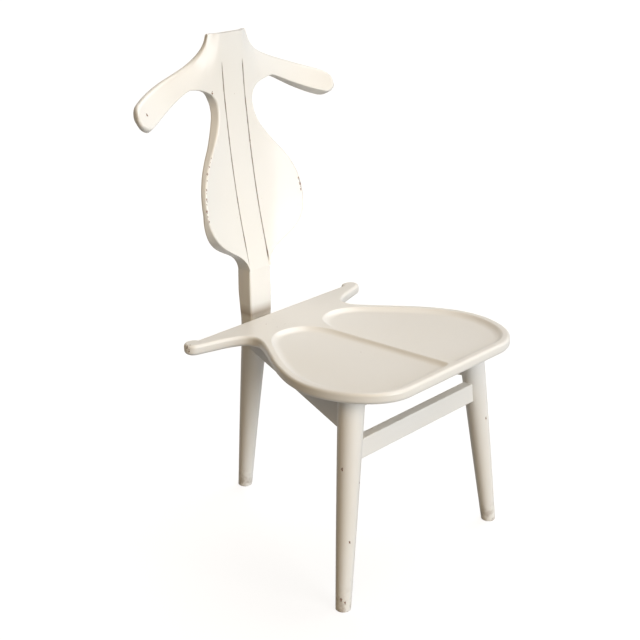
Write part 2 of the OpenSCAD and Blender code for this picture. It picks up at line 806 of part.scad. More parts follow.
module hinge_pin(side) {
    color(brass)
        translate([side * hinge_span / 2 - hinge_len / 2, hinge_y, hinge_z])
            rotate([0, 90, 0])
                cylinder(h = hinge_len, d = pin_d, $fn = round_fn);
}

module seat_hinge_screws() {
    color(brass)
        for (side = [-1, 1])
            seat_leaf_place(side)
                leaf_screws(0);
}

module frame_hinge_screws() {
    color(brass)
        for (side = [-1, 1])
            frame_leaf_place(side)
                leaf_screws(0);
}

// ---------- Seat ----------

// Outline of the right-hand half, in the seat's own frame, from the front round to the rear edge
half_w = seat_w / 2;
front_corner = [front_flat_w / 2, -seat_len];
wide_point = [half_w, -seat_wide_at];
seat_waist = [seat_waist_w / 2, -seat_waist_at];
tip_at = [horn_span / 2 - horn_tip_r, horn_tip_out - horn_tip_r];
tip_start = tip_at + horn_tip_r * [sin(horn_rake), -cos(horn_rake)];
rake_dir = [cos(horn_rake), sin(horn_rake)];
tip_end_angle = 180 - asin((horn_tip_r - horn_tip_out) / horn_tip_r);
corner_curve = [front_corner, front_corner + [70, 0], wide_point - [0, 65], wide_point];
side_curve = [wide_point, wide_point + [0, 100], seat_waist - [0, 40], seat_waist];
horn_curve = [seat_waist, seat_waist + [0, 32], tip_start - 60 * rake_dir, tip_start];
corner_steps = 9;
side_steps = 12;
horn_steps = 8;
half_outline = concat(
    bezier(corner_curve, corner_steps),
    bezier(side_curve, side_steps),
    bezier(horn_curve, horn_steps),
    arc(tip_at, horn_tip_r, horn_rake - 90, tip_end_angle, 10)
);
seat_outline = concat(half_outline, mirrored(half_outline));

// Sections of the rounded edge: how far inwards, and how high
seat_edge = concat(
    [for (a = [0:22.5:90]) seat_bottom_round * [1 - sin(a), 0] + [0, seat_bottom_round * (1 - cos(a))]],
    [for (a = [0:22.5:90]) [seat_top_round * (1 - cos(a)), seat_t - seat_top_round * (1 - sin(a))]]
);

// Outline of the right-hand dish, moved inwards by d from its upper edge
dish_side_share = 0.64;
dish_side_steps = 8;
function dish_outline(d) =
    let (
        edge = concat(
            [front_corner - [20, 0]],
            bezier(corner_curve, corner_steps),
            bezier(side_curve, dish_side_steps, 0, dish_side_share),
            [bezier_at(side_curve, dish_side_share), bezier_at(side_curve, dish_side_share + 0.08)]
        ),
        moved = inset(edge, dish_rim + d),
        outer = [for (i = [1:len(moved) - 2]) moved[i]],
        last = outer[len(outer) - 1],
        heading = unit(last - outer[len(outer) - 2]),
        ridge_x = ridge_w / 2 + 0.8 * d,
        crown = [dish_crown_x, -dish_rear_at - 1.05 * d],
        front_y = -seat_len + dish_rim + d,
        turn_r = max(2, 11 - 0.5 * d),
        ridge_top = [ridge_x, -dish_rear_at - 88],
        shoulder = [last, last + 38 * heading, crown + [32, 0], crown],
        inner = [crown, crown - [45 - 0.5 * d, 0], ridge_top + [0, 55 - 0.6 * d], ridge_top],
        front_turn = [[ridge_x, front_y + turn_r], [ridge_x, front_y + 0.4 * turn_r],
            [ridge_x + 0.4 * turn_r, front_y], [ridge_x + turn_r, front_y]]
    )
    concat(
        outer,
        [for (i = [1:6]) bezier_at(shoulder, i / 7)],
        bezier(inner, 9),
        [ridge_top],
        [for (i = [0:4]) bezier_at(front_turn, i / 4)]
    );

// Sections of a dish's wall: how far inwards, and how deep, as shares
dish_sections = [[-0.12, -0.23], [0.12, 0.23], [0.3, 0.52], [0.53, 0.78], [0.76, 0.93], [1, 1]];

module dish() {
    skin([for (i = [len(dish_sections) - 1:-1:0])
        let (
            s = dish_sections[i],
            z = seat_t - s[1] * dish_depth
        )
        [for (p = dish_outline(s[0] * dish_wall)) [p.x, p.y, z]]]);
}

module seat() {
    color(lacquer)
        seat_place()
            difference() {
                skin([for (e = seat_edge) [for (p = inset(seat_outline, e[0])) [p.x, p.y, e[1]]]]);
                dish();
                mirror([1, 0, 0])
                    dish();
            }
}

// ---------- Left-hand pieces are mirrored ----------

module left()
    mirror([1, 0, 0])
        children();

rear_post();
left() back_wing();  // back_wing_left
back_wing();  // back_wing_right
color(bare_wood) dowels(0);  // wing_dowels
left() front_leg();  // front_leg_left
front_leg();  // front_leg_right
front_stretcher();
hinge_rail();
left() side_rail();  // side_rail_left
side_rail();  // side_rail_right
tray_bottom();
tray_wall();
left() tray_ledge();  // tray_ledge_left
tray_ledge();  // tray_ledge_right
tray_screws();
seat_buffers();
frame_leaf(-1);  // frame_hinge_leaf_left
frame_leaf(1);  // frame_hinge_leaf_right
hinge_pin(-1);  // hinge_pin_left
hinge_pin(1);  // hinge_pin_right
frame_hinge_screws();
seat();
seat_leaf(-1);  // seat_hinge_leaf_left
seat_leaf(1);  // seat_hinge_leaf_right
seat_hinge_screws();
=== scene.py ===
# %% [markdown]
# # A clothes valet chair in ivory lacquer
# The chair has three legs, a back shaped like a coat hanger and a seat that lifts on two hinges at the
# front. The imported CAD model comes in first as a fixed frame, so each piece below goes where its CAD
# node already is, and nothing has to be fitted by eye.

# %% Load the frame
import json
import math

import bmesh
import bpy
from mathutils import Matrix, Vector


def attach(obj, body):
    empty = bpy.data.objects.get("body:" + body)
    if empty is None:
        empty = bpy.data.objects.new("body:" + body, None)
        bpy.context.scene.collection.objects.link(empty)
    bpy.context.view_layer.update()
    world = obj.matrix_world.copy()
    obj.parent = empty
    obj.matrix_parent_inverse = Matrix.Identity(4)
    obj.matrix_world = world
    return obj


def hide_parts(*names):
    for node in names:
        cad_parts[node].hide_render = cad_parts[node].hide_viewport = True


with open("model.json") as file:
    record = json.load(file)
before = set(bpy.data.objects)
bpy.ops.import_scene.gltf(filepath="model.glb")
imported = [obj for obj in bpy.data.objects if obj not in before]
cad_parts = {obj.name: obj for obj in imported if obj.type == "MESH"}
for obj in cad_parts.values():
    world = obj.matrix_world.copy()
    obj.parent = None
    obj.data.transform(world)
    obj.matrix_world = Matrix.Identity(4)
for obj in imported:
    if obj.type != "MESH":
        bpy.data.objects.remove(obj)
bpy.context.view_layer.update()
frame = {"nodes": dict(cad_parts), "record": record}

# %% [markdown]
# ## Camera
# The picture was taken from the chair's front left, a little above the seat. The angles and the focal
# length come from fitting a pinhole camera to the feet, the seat and the back. The camera is placed
# before anything is modelled, because every later choice is judged through it.

# %% Camera
PICTURE_PX = 640
camera_turn, camera_lift, camera_roll = -0.8348957878, 0.3620543251, -0.0024331753
camera_place = Vector((-1.7935007, -1.5895669, 1.3440253))
focal_px, centre_px = 1351.7443, (321.4588, 319.8936)

back = Vector((
    math.sin(camera_turn) * math.cos(camera_lift),
    -math.cos(camera_turn) * math.cos(camera_lift),
    math.sin(camera_lift),
))
right = Vector((math.cos(camera_turn), math.sin(camera_turn), 0))
up = back.cross(right)
roll_c, roll_s = math.cos(camera_roll), math.sin(camera_roll)
rolled_right = roll_c * right + roll_s * up
rolled_up = roll_c * up - roll_s * right

bpy.ops.object.select_all(action="DESELECT")
bpy.ops.object.camera_add()
camera = bpy.context.object
camera.name = "camera"
camera.matrix_world = Matrix.Translation(camera_place) @ Matrix((
    rolled_right, rolled_up, back)).transposed().to_4x4()
camera.data.sensor_width = 36
camera.data.lens = focal_px / PICTURE_PX * camera.data.sensor_width
camera.data.shift_x = (PICTURE_PX / 2 - centre_px[0]) / PICTURE_PX
camera.data.shift_y = (centre_px[1] - PICTURE_PX / 2) / PICTURE_PX
camera.data.clip_end = 200
bpy.context.scene.camera = camera
print("lens %.1f mm, shift %.4f %.4f" % (camera.data.lens, camera.data.shift_x, camera.data.shift_y))

# %% [markdown]
# ## Curves that a maker draws by hand
# The outlines of the back and the seat are smooth curves through a few chosen points. Five small
# helpers are enough for all of them: a straight blend, an eased blend, a Bezier curve, a circle's arc,
# and a smooth run through the rows of a table. Sizes are in millimetres, as on a drawing, and become
# metres where a point enters a mesh or a material.

# %% Curve helpers
MM = 0.001


def mix(a, b, t):
    return a + (b - a) * t


def ease(t):
    t = min(1.0, max(0.0, t))
    return t * t * (3 - 2 * t)


def bezier_at(p, t):
    """A point of a cubic Bezier curve with the four corners p."""
    return (1 - t) ** 3 * p[0] + 3 * t * (1 - t) ** 2 * p[1] + 3 * t * t * (1 - t) * p[2] + t ** 3 * p[3]


def bezier(p, n, t0=0.0, t1=1.0):
    """n points of the curve, the last one left out."""
    return [bezier_at(p, mix(t0, t1, i / n)) for i in range(n)]


def arc(centre, r, a0, a1, n):
    """n + 1 points of a circle's arc, angles in degrees."""
    angles = [math.radians(mix(a0, a1, i / n)) for i in range(n + 1)]
    return [centre + r * V(math.cos(a), math.sin(a)) for a in angles]


def spline(rows, steps):
    """Values between the rows of a table, smooth through every row."""
    out = []
    for k in range(len(rows) - 1):
        p0, p1, p2, p3 = rows[max(0, k - 1)], rows[k], rows[k + 1], rows[min(len(rows) - 1, k + 2)]
        for i in range(steps):
            t = i / steps
            out.append([0.5 * (2 * b + (c - a) * t + (2 * a - 5 * b + 4 * c - d) * t * t
                               + (3 * b - a - 3 * c + d) * t ** 3)
                        for a, b, c, d in zip(p0, p1, p2, p3)])
    return out + [list(rows[-1])]


def V(x, y):
    """A point or a step in a flat drawing."""
    return Vector((x, y))


print("half way along a quarter turn:", arc(V(0, 0), 1, 0, 90, 2)[1])

# %% [markdown]
# ## Lofting with extrude
# The wings, the post, the legs and the seat are all bodies whose section changes along their length.
# By hand, such a body grows from a filled circle: the cap is extruded, the new ring of points is put
# where the next section wants it, and so on to the far end. The helper does just that, ring by ring,
# and closes both ends. Subdividing a cage would round the flat faces that a joiner leaves flat.

# %% Loft helper
def put_ring(corners, ring):
    for corner, place in zip(corners, ring):
        corner.co = Vector(place) * MM


def face_outwards():
    """Turns every face of the mesh that is being edited to look outwards."""
    bpy.ops.mesh.select_all(action="SELECT")
    bpy.ops.mesh.normals_make_consistent(inside=False)


def loft(name, rings):
    """A closed body through rings of points; the corners of the cap are followed from ring to ring."""
    bpy.ops.object.select_all(action="DESELECT")
    bpy.ops.mesh.primitive_circle_add(vertices=len(rings[0]), radius=0.01, fill_type="NGON")
    piece = bpy.context.object
    piece.name = piece.data.name = name
    bpy.ops.object.mode_set(mode="EDIT")
    bpy.ops.mesh.select_mode(type="FACE")
    bpy.ops.mesh.select_all(action="SELECT")
    mesh = bmesh.from_edit_mesh(piece.data)
    mesh.verts.ensure_lookup_table()
    order = list(range(len(rings[0])))
    put_ring([mesh.verts[i] for i in order], rings[0])
    for ring in rings[1:]:
        bpy.ops.mesh.extrude_region_move()
        mesh = bmesh.from_edit_mesh(piece.data)
        mesh.verts.ensure_lookup_table()
        order = [next(e.other_vert(mesh.verts[i]).index for e in mesh.verts[i].link_edges
                      if e.other_vert(mesh.verts[i]).select) for i in order]
        put_ring([mesh.verts[i] for i in order], ring)
    bmesh.update_edit_mesh(piece.data)
    face_outwards()
    bpy.ops.object.mode_set(mode="OBJECT")
    return piece


def only(piece):
    """Selects one piece and nothing else."""
    bpy.ops.object.select_all(action="DESELECT")
    piece.select_set(True)
    bpy.context.view_layer.objects.active = piece


def polish(piece):
    """Smooth shading across round edges, with the flat faces kept flat."""
    only(piece)
    bpy.ops.object.shade_smooth_by_angle(angle=math.radians(35))
    even = piece.modifiers.new("even_faces", "WEIGHTED_NORMAL")
    even.keep_sharp = True
    bpy.ops.object.modifier_apply(modifier=even.name)
    print("%s: %d faces" % (piece.name, len(piece.data.polygons)))
    return piece


def mirror_copy(piece, name):
    """A second piece of its own, mirrored left to right."""
    only(piece)
    bpy.ops.object.duplicate(linked=False)
    twin = bpy.context.object
    twin.name = twin.data.name = name
    bpy.ops.transform.resize(value=(-1, 1, 1), center_override=(0, 0, 0))
    bpy.ops.object.transform_apply(location=True, rotation=True, scale=True)
    bpy.ops.object.mode_set(mode="EDIT")
    face_outwards()
    bpy.ops.object.mode_set(mode="OBJECT")
    return twin


# %% [markdown]
# ## Shared sizes
# These are the sizes on which several pieces lean. The seat slopes a little down to the back, and the
# tops of the legs and rails follow its underside at an even gap, so one function gives that height
# for any place along the chair.

# %% Shared sizes
height, half_depth = 950.0, 585.1 / 2
seat_h, seat_w, seat_len, seat_t = 414.4, 479.0, 453.0, 21.0
seat_tilt, seat_clear, seat_to_post = math.radians(1.4), 3.0, 35.0
seat_rear_y = seat_len - half_depth
post_y = seat_rear_y + seat_to_post
seat_under_z = seat_h - seat_t


def under_z(y):
    """Height of the seat's underside at a place along the chair."""
    return seat_under_z + (seat_rear_y - y) * math.tan(seat_tilt)


def seat_point(x, y, z):
    """A point given in the seat's own sloping frame."""
    c, s = math.cos(seat_tilt), math.sin(seat_tilt)
    return (x, seat_rear_y + y * c + z * s, seat_under_z - y * s + z * c)


print("underside of the seat: %.1f mm at the back, %.1f mm at the front" % (
    under_z(seat_rear_y), under_z(seat_rear_y - seat_len)))

# %% [markdown]
# ## The surface of the back
# Seen from the side, the back bends on one large radius and grows steeper towards the top. Across,
# the bell is hollowed to a hip's shape, and the arms first stand back and then sweep forward like
# the shoulders of a coat hanger. One function gives the front face for any place on the back, so the
# post and both wings meet without a step.

# %% The back's surface
stile_x, waist_half_w = 54 / 2, 46.0
toe_z, bell_z, back_waist_z, armpit_z = height - 454, height - 323, height - 138, height - 97.3
groove_top_z, groove_bottom_z = height - 53, toe_z + 9
back_top_y, back_bend_r, back_top_lean = half_depth - 28.7, 1950.0, math.radians(1.5)
top_t, neck_edge_t, waist_t, toe_t, bell_edge_t = 11.0, 7.0, 20.0, 34.0, 11.5
hollow_r, hollow_gain, neck_back = 313.0, 0.65, 9.7
arm_back, arm_back_x, arm_curl_r = 8.3, 140.0, 187.0
blend_z, arm_drop_rate, waist_lean = back_waist_z - 50, 0.6, 0.3


def spine_y(z):
    """Front of the back along its middle."""
    lean = (height - z) / back_bend_r + math.sin(back_top_lean)
    return back_top_y + back_bend_r * (math.sqrt(1 - lean * lean) - math.cos(back_top_lean))


def spine_t(z):
    """Thickness of the back beside its middle."""
    rows = [(toe_z, toe_t), (mix(toe_z, bell_z, 0.5), mix(toe_t, waist_t, 0.32)),
            (bell_z, mix(toe_t, waist_t, 0.52)), (back_waist_z, waist_t),
            (mix(back_waist_z, height, 0.5), mix(waist_t, top_t, 0.38)), (height, top_t)]
    for (z0, t0), (z1, t1) in zip(rows, rows[1:]):
        if z <= z1:
            return mix(t0, t1, max(0.0, (z - z0) / (z1 - z0)))
    return top_t


def arm_sweep(x):
    """How far an arm's front stands behind the middle's."""
    if x < arm_back_x:
        return arm_back * ease((x - stile_x) / (arm_back_x - stile_x))
    return arm_back - (x - arm_back_x) ** 2 / (2 * arm_curl_r)


def arm_drop(x):
    """The arm's shape starts lower, the further out a point lies beyond the waist."""
    return arm_drop_rate * max(0.0, x - waist_half_w)


def arm_share(x, z):
    """0 on the bell, 1 on the arm."""
    return ease((z - blend_z + arm_drop(x)) / (armpit_z - blend_z))


def hollow_slope(x, z):
    """Slope of the bell's hollow across the chair, steeper towards the toe."""
    return x / hollow_r * (1 + hollow_gain * ease((bell_z - z) / (bell_z - toe_z)))


def front_y(x, z):
    """The front face, for any place on the back."""
    shoulder_w = 20 + 0.5 * (height - z)
    neck = ease((x - stile_x) / shoulder_w) * ease((z - armpit_z) / (height - armpit_z))
    return spine_y(z) + mix(-x / 2 * hollow_slope(x, z), arm_sweep(x), arm_share(x, z)) + neck_back * neck


def flare(x, z, depth):
    """How far an edge leans out, a given depth behind its front, at the bell and at the waist."""
    hollow = hollow_slope(x, z) * ease((x - stile_x) / 40) * (1 - arm_share(x, z))
    at_waist = ease((z - blend_z + 30) / 50) * ease((armpit_z + 4 - z - arm_drop(x)) / 30)
    return depth * (hollow + waist_lean * at_waist * ease((x - stile_x) / 20))


bell_half_w = 130.0
print("the bell's edge stands %.1f mm in front of its middle" % (
    spine_y(bell_z) - front_y(bell_half_w, bell_z)))

# %% [markdown]
# ## Wings
# Each half of the back is one board: half a bell below, a hanger's arm above. A maker saws the outline,
# hollows the front and rounds the edges. Here the board is lofted along its length instead, from the
# toe of the bell up over the waist and out along the arm, because each section can then have its own
# thickness and rounding. The inner edge carries a small chamfer that makes the thin joint line.

# %% Sections of a wing
post_w = 58.8
arm_slope = math.radians(15.8)
arm_normal = V(math.sin(arm_slope), math.cos(arm_slope))
arm_dir = V(arm_normal.y, -arm_normal.x)
arm_span, arm_tip_drop = 518.0, 124.1
arm_tip_r, arm_tip_t, arm_t, arm_top_t = 26.7, 20.8, 16.7, 16.0
arm_round, arm_low_round, bell_round = arm_tip_t / 2 - 0.2, 2.0, 4.0
arm_roll, roll_at_root = math.radians(33), 0.35
joint_chamfer = 1.2
tip_centre = V(arm_span / 2 - arm_tip_r, height - arm_tip_drop)
tip_top, tip_under = tip_centre + arm_tip_r * arm_normal, tip_centre - arm_tip_r * arm_normal
toe_point, bell_point = V(post_w / 2 - 0.6, toe_z), V(bell_half_w, bell_z)
waist_point, armpit_point = V(waist_half_w, back_waist_z), V(107.6, armpit_z)
neck_point = V(49.5, height)

toe_curve = [toe_point, toe_point + V(0.6, 49), bell_point - V(0, 87), bell_point]
flank_curve = [bell_point, bell_point + V(0, 93), waist_point - V(0, 72), waist_point]
armpit_curve = [waist_point, waist_point + V(0, 28), armpit_point - V(34, 0), armpit_point]
under_curve = [armpit_point, armpit_point + V(20, -3), tip_under + V(-43, 12.7), tip_under]
top_curve = [neck_point, neck_point + V(11, -53), tip_top + V(-123, 41.7), tip_top]


flat_steps, round_steps = 14, 6


def wing_section(a, b, t_a, t_b, r_a, r_b, roll=0.0, set_back=0.0):
    """Closed ring from a on the inner edge to b on the outer edge, rolled about its own middle.

    t_a and t_b are the thicknesses at its two ends, r_a and r_b the radii of their corners.
    """
    length = (b - a).length
    along = (b - a) / length
    middle = V(length / 2, (t_a + t_b) / 4)
    roll_cos, roll_sin = math.cos(roll), math.sin(roll)
    ra = min(r_a, t_a / 2 - 0.2, 0.45 * length)
    rb = min(r_b, t_b / 2 - 0.2, 0.45 * length)
    ring = [V(mix(ra, length - rb, i / flat_steps), 0) for i in range(flat_steps + 1)]
    ring += arc(V(length - rb, rb), rb, -90, 0, round_steps)[1:]
    ring += arc(V(length - rb, t_b - rb), rb, 0, 90, round_steps)[:-1]
    for i in range(flat_steps, -1, -1):
        s = mix(ra, length - rb, i / flat_steps)
        ring.append(V(s, mix(t_a, t_b, s / length)))
    ring += arc(V(ra, t_a - ra), ra, 90, 180, round_steps)[1:]
    ring += arc(V(ra, ra), ra, 180, 270, round_steps)[:-1]
    out = []
    for p in ring:
        p = p - middle
        p = middle + V(roll_cos * p.x + roll_sin * p.y, roll_cos * p.y - roll_sin * p.x)
        q = a + along * p.x
        out.append((q.x + flare(q.x, q.y, p.y), front_y(q.x, q.y) + p.y + set_back, q.y))
    return out


def chamfer_at(z):
    """The joint line fades out over its last few millimetres at both ends."""
    return mix(0.3, joint_chamfer, ease((z - groove_bottom_z) / 6 + 0.5) * ease((groove_top_z - z) / 6 + 0.5))


# %% Loft one wing
armpit_turn = 0.55
rise_steps, across_steps = 15, 6
sections = []
for i in range(18):
    u = i / 18
    b = bezier_at(toe_curve, u)
    sections.append(wing_section(V(stile_x, b.y), b, spine_t(b.y), mix(toe_t, bell_edge_t, u ** 1.8),
                                 chamfer_at(b.y), mix(0.6, bell_round, u)))
for i in range(22):
    u = i / 22
    b = bezier_at(flank_curve, u)
    sections.append(wing_section(V(stile_x, b.y), b, spine_t(b.y), mix(bell_edge_t, waist_t - 1, ease(u)),
                                 chamfer_at(b.y), bell_round))
for i in range(rise_steps + across_steps):
    u = i / (rise_steps + across_steps)
    if i <= rise_steps:
        a = V(stile_x, mix(back_waist_z, height, i / rise_steps))
    else:
        a = V(stile_x, height).lerp(neck_point, (i - rise_steps) / across_steps)
    edge_t = mix(spine_t(a.y), neck_edge_t, (a.x - stile_x) / (neck_point.x - stile_x))
    sections.append(wing_section(a, bezier_at(armpit_curve, armpit_turn * u), edge_t, waist_t,
                                 chamfer_at(a.y), mix(bell_round, arm_low_round, u)))
for i in range(12):
    u = i / 12
    sections.append(wing_section(bezier_at(top_curve, u / 2), bezier_at(armpit_curve, mix(armpit_turn, 1, u)),
                                 mix(neck_edge_t, arm_top_t, ease(u)), mix(waist_t, arm_t, u),
                                 arm_round, arm_low_round, arm_roll * roll_at_root * ease(u)))
for i in range(18):
    u = i / 18
    sections.append(wing_section(bezier_at(top_curve, 0.5 + u / 2), bezier_at(under_curve, u),
                                 mix(arm_top_t, arm_tip_t, ease(u)), mix(arm_t, arm_tip_t, ease(u)),
                                 arm_round, arm_low_round, arm_roll * mix(roll_at_root, 1, ease(u))))
for turn in (0, 12, 24, 35, 45, 54, 62, 69, 75, 80, 84, 87):
    out = arm_tip_r * math.sin(math.radians(turn))
    up_by = arm_tip_r * math.cos(math.radians(turn))
    rest = max(0.0, arm_round - (arm_tip_r - out))
    gone = arm_round - math.sqrt(arm_round ** 2 - rest ** 2)
    t = arm_tip_t - 2 * gone
    sections.append(wing_section(tip_centre + out * arm_dir + up_by * arm_normal,
                                 tip_centre + out * arm_dir - up_by * arm_normal,
                                 t, t, arm_round, mix(arm_low_round, arm_round, ease(turn / 60)),
                                 arm_roll, gone))

wing_right = polish(loft("wing_right", sections))
wing_left = polish(mirror_copy(wing_right, "wing_left"))

# %% [markdown]
# ## Rear post
# The stile between the wings, the post behind the seat and the rear leg are one blank. It is square
# where the wings are glued on and where the seat's straight edge faces it, and turns round towards the
# foot. A table of heights, depths, widths and corner radii describes it, with a smooth run between rows.

# %% Loft the rear post
rear_foot_y, rear_foot_d, foot_edge = half_depth - 38.1, 29.0, 1.2
post_d, shoulder_lip = 36.0, 0.2


def post_section(z, y_front, y_back, half_w, r_front, r_back, steps=8):
    """Level ring with one radius for its two front corners and another for its two rear ones."""
    ring = arc(V(-half_w + r_front, y_front + r_front), r_front, 180, 270, steps)
    ring += arc(V(half_w - r_front, y_front + r_front), r_front, 270, 360, steps)
    ring += arc(V(half_w - r_back, y_back - r_back), r_back, 0, 90, steps)
    ring += arc(V(-half_w + r_back, y_back - r_back), r_back, 90, 180, steps)
    return [(p.x, p.y, z) for p in ring]


# height, front, depth, width, and the corners' radii as shares of half the depth
foot_front_y = rear_foot_y - rear_foot_d / 2
leg_rows = [
    (0, foot_front_y, rear_foot_d, rear_foot_d, 0.98, 0.98),
    (150, mix(foot_front_y, post_y, 0.45), 38.5, 38.5, 0.98, 0.98),
    (280, mix(foot_front_y, post_y, 0.86), 46.5, 47.5, 0.98, 0.98),
    (345, post_y + 1, 44, 52.5, 0.75, 0.95),
    (seat_under_z - 8, post_y + 0.3, 39, 56, 0.3, 0.8),
    (seat_under_z + 20, post_y, post_d, post_w - 0.6, 0.24, 0.45),
    (seat_under_z + 52, post_y + 0.5, post_d, post_w, 0.22, 0.25),
    (seat_under_z + 80, mix(post_y, spine_y(toe_z), 0.55), mix(post_d, toe_t, 0.5), post_w - 0.6, 0.18, 0.2),
    (toe_z, spine_y(toe_z) - shoulder_lip, toe_t + 2 * shoulder_lip, 2 * stile_x + 3, 0.1, 0.2),
]
post_rings = []
for z, y, deep, wide, rf, rb in spline(leg_rows, 12):
    post_rings.append(post_section(z, y, y + deep, wide / 2, rf * deep / 2, rb * deep / 2))
foot = post_rings[0]
inwards = 1 - foot_edge / (rear_foot_d / 2)
post_rings[0] = [(x, y, foot_edge) for x, y, z in foot]
post_rings.insert(0, [(mix(0, x, inwards), mix(rear_foot_y, y, inwards), 0.0) for x, y, z in foot])
stile_steps = 70
for i in range(stile_steps + 1):
    z = mix(toe_z, height, i / stile_steps)
    flush = mix(spine_y(z), front_y(stile_x, z), ease((z - toe_z) / 60))
    post_rings.append(post_section(z, flush, spine_y(z) + spine_t(z), stile_x, chamfer_at(z), 0.4))
post = polish(loft("rear_post", post_rings))

# %% [markdown]
# ## Front legs
# A front leg is turned on a lathe: round, 49 mm thick at the top and tapered to 28 mm, with a slight
# swell. It leans outwards and forwards. The turned blank is made longer than needed, and the floor
# and the seat's slope then cut it off level with bisect, as a saw would.

# %% Turn and cut a front leg
foot_x, foot_y = 444.4 / 2, 75 - half_depth
lean_x, lean_y = -0.126, 0.066
leg_foot_d, leg_top_d, leg_swell, leg_edge = 28.0, 49.0, 1.3, 0.0012
leg_axis = Vector((lean_x, lean_y, 1.0))


def leg_x(z):
    return foot_x + lean_x * z


def leg_y(z):
    return foot_y + lean_y * z


leg_top_z = under_z(leg_y(seat_under_z)) - seat_clear
leg_len = leg_top_z * leg_axis.length
axis = leg_axis.normalized()
side = axis.cross(Vector((0, 1, 0))).normalized()
front = side.cross(axis)


def leg_ring(along, r, points=72):
    middle = Vector((foot_x, foot_y, 0)) + axis * along
    ring = []
    for i in range(points):
        a = 2 * math.pi * i / points
        ring.append(tuple(middle + r * (math.cos(a) * side + math.sin(a) * front)))
    return ring


def leg_r(u):
    """Radius from the foot, 0, to the top, 1."""
    return mix(leg_foot_d, leg_top_d, u) / 2 + leg_swell * 4 * u * (1 - u) / 2


def cut_flat(piece, place, direction):
    """Saws off what lies beyond a plane and closes the cut."""
    only(piece)
    bpy.ops.object.mode_set(mode="EDIT")
    bpy.ops.mesh.select_all(action="SELECT")
    bpy.ops.mesh.bisect(plane_co=place, plane_no=direction, use_fill=True, clear_outer=True)
    bpy.ops.object.mode_set(mode="OBJECT")


def soften_rim(piece, place, direction, width):
    """Bevels the edges that lie in one plane."""
    only(piece)
    bpy.ops.object.mode_set(mode="EDIT")
    bpy.ops.mesh.select_mode(type="EDGE")
    bpy.ops.mesh.select_all(action="DESELECT")
    mesh = bmesh.from_edit_mesh(piece.data)
    for edge in mesh.edges:
        edge.select = all(abs((v.co - Vector(place)).dot(Vector(direction))) < 2e-5 for v in edge.verts)
    mesh.select_flush_mode()
    bmesh.update_edit_mesh(piece.data)
    bpy.ops.mesh.bevel(offset=width, segments=3, affect="EDGES")
    bpy.ops.object.mode_set(mode="OBJECT")


below, above, leg_steps = 20, 30, 16
rings = [leg_ring(-below, leg_r(0))]
rings += [leg_ring(leg_len * i / leg_steps, leg_r(i / leg_steps)) for i in range(leg_steps + 1)]
rings += [leg_ring(leg_len + above, leg_r(1))]
leg_right = loft("leg_right", rings)
seat_up = Vector(seat_point(0, 0, 1)) - Vector(seat_point(0, 0, 0))
top_place = Vector(seat_point(0, 0, -seat_clear)) * MM
cut_flat(leg_right, (0, 0, 0), (0, 0, -1))
cut_flat(leg_right, top_place, seat_up)
soften_rim(leg_right, (0, 0, 0), (0, 0, 1), leg_edge)
soften_rim(leg_right, top_place, seat_up, leg_edge)
polish(leg_right)
leg_left = polish(mirror_copy(leg_right, "leg_left"))

# %% [markdown]
# ## Rails
# Four boards tie the legs together: the stretcher between the front legs, the rail that carries the
# hinges, and two side rails that run back to the post. Each starts as a cube of the board's size and is
# turned into place. The tops of all but the stretcher are planed to the seat's slope, and every edge is
# broken with a bevel.

# %% Board helper and the stretcher
def board(name, middle, size, edge, turn=0.0, shape=None):
    """A bevelled board; shape moves each of its eight corners first."""
    bpy.ops.object.select_all(action="DESELECT")
    bpy.ops.mesh.primitive_cube_add(size=1, location=Vector(middle) * MM, rotation=(0, 0, turn))
    piece = bpy.context.object
    piece.name = piece.data.name = name
    piece.scale = Vector(size) * MM
    bpy.ops.object.transform_apply(location=True, rotation=True, scale=True)
    bpy.ops.object.mode_set(mode="EDIT")
    mesh = bmesh.from_edit_mesh(piece.data)
    if shape:
        for v in mesh.verts:
            v.co = Vector(shape(*(v.co / MM))) * MM
    bmesh.update_edit_mesh(piece.data)
    bpy.ops.mesh.select_mode(type="EDGE")
    bpy.ops.mesh.select_all(action="SELECT")
    bpy.ops.mesh.bevel(offset=edge, segments=3, affect="EDGES")
    face_outwards()
    bpy.ops.object.mode_set(mode="OBJECT")
    return polish(piece)


stretcher_h, stretcher_t, stretcher_drop, stretcher_tenon = 38.5, 20.0, 88.0, 11.0
stretcher_mid_z = leg_top_z - stretcher_drop - stretcher_h / 2
stretcher_y = leg_y(stretcher_mid_z) + 1
stretcher_end = leg_x(stretcher_mid_z) - leg_top_d / 2 + stretcher_tenon
stretcher = board("stretcher", (0, stretcher_y, stretcher_mid_z),
                  (2 * stretcher_end, stretcher_t, stretcher_h), edge=0.002)

# %% Hinge rail
hinge_rail_h, hinge_rail_t, hinge_rail_tenon = 21.5, 24.0, 14.0
hinge_rail_y = leg_y(leg_top_z) - leg_top_d / 2 + 1
hinge_rail_z = under_z(hinge_rail_y) - seat_clear - hinge_rail_h
hinge_rail_end = leg_x(hinge_rail_z) - leg_top_d / 2 + hinge_rail_tenon


def plane_to_seat(bottom):
    """Moves a board's upper corners up to the seat's slope and its lower ones to a given height."""
    def shape(x, y, z):
        return (x, y, under_z(y) - seat_clear) if z > bottom + 5 else (x, y, bottom)
    return shape


hinge_rail = board("hinge_rail", (0, hinge_rail_y + hinge_rail_t / 2, hinge_rail_z + hinge_rail_h / 2),
                   (2 * hinge_rail_end, hinge_rail_t, hinge_rail_h), edge=0.001,
                   shape=plane_to_seat(hinge_rail_z))

